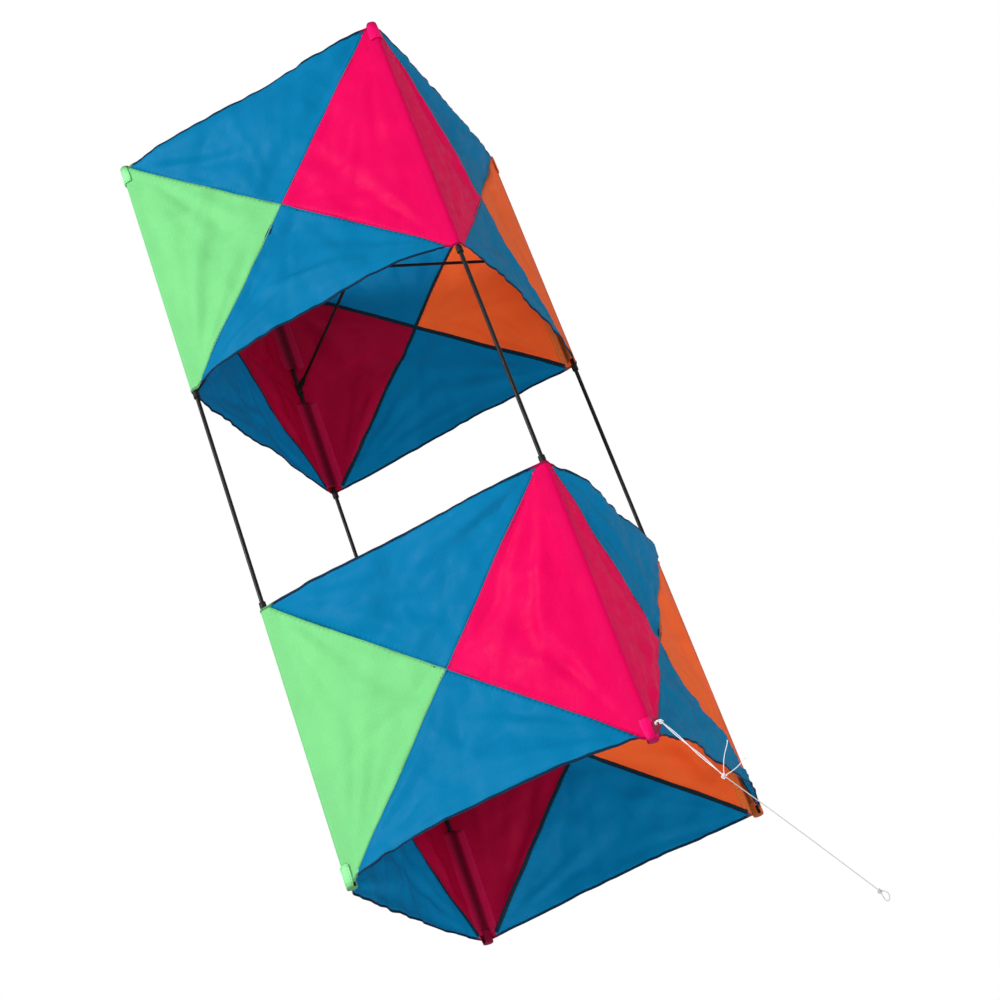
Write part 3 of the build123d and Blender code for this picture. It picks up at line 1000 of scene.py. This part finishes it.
# The line: white spun cord. A doubled length is hitched through the tab's hole and runs to a knot with
# two cut tails; from there a single thin line runs on, taut, and ends in a small tied loop.
white_cord = thread("white_cord", (0.80, 0.81, 0.83, 1), (0.50, 0.51, 0.54, 1), 2600.0)


def route(name, points):
    """A smooth curve with these points as its control points."""
    data = bpy.data.curves.new(name, "CURVE")
    data.dimensions = "3D"
    spline = data.splines.new("NURBS")
    spline.points.add(len(points) - 1)
    for place, point in zip(spline.points, points):
        place.co = (*point, 1)
    spline.order_u = 3
    spline.use_endpoint_u = True
    spline.resolution_u = 60
    made = bpy.data.objects.new(name, data)
    bpy.context.scene.collection.objects.link(made)
    line = bpy.data.meshes.new_from_object(made.evaluated_get(bpy.context.evaluated_depsgraph_get()))
    path = np.array([tuple(vertex.co) for vertex in line.vertices])
    bpy.data.objects.remove(made)
    return path


def evenly(path, step):
    """Points a step apart along a path."""
    along = np.concatenate([[0], np.cumsum(np.linalg.norm(np.diff(path, axis=0), axis=1))])
    wanted = np.linspace(0, along[-1], max(2, int(round(along[-1] / step)) + 1))
    return np.stack([np.interp(wanted, along, path[:, part]) for part in range(3)], axis=1)


def carried(path, closed=False):
    """The direction along a path, and two directions square to it that don't twist."""
    if closed:
        ahead = unit(np.roll(path, -1, axis=0) - np.roll(path, 1, axis=0))
    else:
        ahead = unit(np.gradient(path, axis=0))
    side = np.cross(ahead[0], (0.31, 0.18, 0.93))
    sides = []
    for direction in ahead:
        side = side - direction * (side @ direction)
        side = side / np.linalg.norm(side)
        sides.append(side.copy())
    sides = np.array(sides)
    if closed:
        other = np.cross(ahead[0], sides[0])
        missed = math.atan2(sides[-1] @ other, sides[-1] @ sides[0])
        turns = -missed * np.arange(len(path)) / len(path)
        others = np.cross(ahead, sides)
        sides = sides * np.cos(turns)[:, None] + others * np.sin(turns)[:, None]
    return ahead, sides, np.cross(ahead, sides)


strand_count, strand_crowding = 3, 1.12


def laid_cord(path, diameter, pitch, around=7, closed=False, ends=None):
    """Strands twisted round a path, as one skin each; ends scales the cord at each point."""
    _, side, other = carried(path, closed)
    steps = np.linalg.norm(np.diff(path, axis=0), axis=1)
    along = np.concatenate([[0], np.cumsum(steps)])
    length = along[-1] + (np.linalg.norm(path[0] - path[-1]) if closed else 0)
    turns = max(1, round(length / pitch)) / length if closed else 1 / pitch
    strand_radius = strand_crowding * diameter / 2 / (1 + 1 / math.sin(math.pi / strand_count))
    reach = diameter / 2 - strand_radius
    thickness = np.ones(len(path)) if ends is None else ends
    circle = np.linspace(0, 2 * math.pi, around, endpoint=False)
    skins = []
    for strand in range(strand_count):
        angle = 2 * math.pi * (along * turns + strand / strand_count)
        offset = side * np.cos(angle)[:, None] + other * np.sin(angle)[:, None]
        middle = path + offset * (reach * thickness)[:, None]
        rings = [
            [middle[here] + (side[here] * math.cos(part) + other[here] * math.sin(part))
             * strand_radius * thickness[here] for part in circle] for here in range(len(path))]
        skins.append(skin(rings, closed))
    return skins


def overhand(centre, radius, cord, aim):
    """A tied overhand knot: one turn of cord passed through itself."""
    angle = np.linspace(0, 2 * math.pi, 90, endpoint=False)
    knot = np.stack([
        np.sin(angle) + 2 * np.sin(2 * angle), np.cos(angle) - 2 * np.cos(2 * angle),
        -1.25 * np.sin(3 * angle)], axis=1)
    knot *= (radius - cord / 2) / 3
    turned = Vector(aim).to_track_quat("Z", "X").to_matrix()
    return laid_cord(knot @ np.array(turned).T + centre, cord, cord * 3.2, closed=True)


hitch_knot, tow_knot, line_bend, line_end = (
    np.array(point) / 1000 for point in ((0, -9.8, -2.0), (0, -80, -101), (0, -158, -195), (0, -242, -300)))
bridle_run = tow_knot - hitch_knot
cord, tail_cord, path_step = 0.0011, 0.0010, 0.0005
hitch_lay, bridle_lay, tail_lay, line_lay = 0.0032, 0.0034, 0.0030, 0.0036

angle = np.linspace(0, 2 * math.pi, 72, endpoint=False)
hitch_skins, hitch_middle = [], -0.0045
for level, ring_radius in ((0.00052, 0.0040), (-0.00052, 0.00385)):
    turn_of_cord = np.stack([
        ring_radius * np.sin(angle) * 0.96, hitch_middle + ring_radius * np.cos(angle) * 1.02,
        level + 0.0002 * np.sin(2 * angle)], axis=1)
    hitch_skins += laid_cord(turn_of_cord, cord, hitch_lay, closed=True)
hitch_skins += overhand(hitch_knot, radius=0.0028, cord=0.0012, aim=bridle_run)
hitch = new_object("tow_hitch_cord", *together(hitch_skins))
finished(hitch, white_cord, ["tow_hitch"])

bridle_path = route("bridle_route", [hitch_knot, (hitch_knot + tow_knot) / 2, tow_knot])
bridle_line = evenly(bridle_path, path_step)
_, side, other = carried(bridle_line)
share = np.linspace(0, 1, len(bridle_line))
strand_gap, gap_swell, half_twists = 0.00062, 0.00025, 2.2
spread = strand_gap + gap_swell * np.sin(math.pi * share)
twist = half_twists * math.pi * share
strands = []
for sign in (-1, 1):
    offset = side * np.cos(twist)[:, None] + other * np.sin(twist)[:, None]
    strands += laid_cord(bridle_line + sign * offset * spread[:, None], cord, bridle_lay)
bridle = new_object("bridle_cord", *together(strands))
finished(bridle, white_cord, ["bridle_line"])

knot_skins = overhand(tow_knot, radius=0.0034, cord=0.0015, aim=bridle_run)
for tail_end, bow in (((0.021, 0.003, 0.038), 0.0030), ((0.030, -0.004, 0.013), -0.0022)):
    tip = tow_knot + np.array(tail_end)
    lean = unit(np.cross(np.array(tail_end), (0.0, 1.0, 0.2)))
    tail_path = evenly(route("tail_route", [
        tow_knot, tow_knot + np.array(tail_end) * 0.4 + lean * bow, tip - lean * bow * 0.5, tip]), path_step)
    fray = np.ones(len(tail_path))
    fray[-8:] = np.linspace(1.05, 1.35, 8)
    knot_skins += laid_cord(tail_path, tail_cord, tail_lay, ends=fray)
tow_tie = new_object("tow_knot_cord", *together(knot_skins))
finished(tow_tie, white_cord, ["tow_knot"])

line_path = route("line_route", [tow_knot, line_bend, line_end])
line_points = evenly(line_path, path_step)
# The thin line is painted grey: painted shade on the white cord, so that it shows against the white surround.
painted_shade_fine_cord = thread("painted_shade_fine_cord", (0.54, 0.53, 0.53, 1), (0.30, 0.30, 0.30, 1), 2600.0)
flying = new_object("flying_line_cord", *together(laid_cord(line_points, cord, line_lay, around=6)))
finished(flying, painted_shade_fine_cord, ["flying_line"])

run_out = unit(line_end - line_bend)
loop_angle = np.linspace(0, 2 * math.pi, 120, endpoint=False)
loop_side = np.cross(run_out, (1.0, 0.0, 0.0))
loop_middle, loop_half_length, loop_half_width = 0.0084, 0.0061, 0.0050
loop_path = (line_end + run_out * loop_middle
             - run_out * (loop_half_length * np.cos(loop_angle))[:, None]
             + loop_side * (
                 loop_half_width * np.sin(loop_angle) * (0.75 - 0.25 * np.cos(loop_angle)))[:, None])
loop_skins = laid_cord(loop_path, cord, line_lay, closed=True)
loop_skins += overhand(line_end, radius=0.0026, cord=0.0012, aim=run_out)
end_tie = new_object("line_end_loop_cord", *together(loop_skins))
finished(end_tie, painted_shade_fine_cord, ["line_end_loop"])
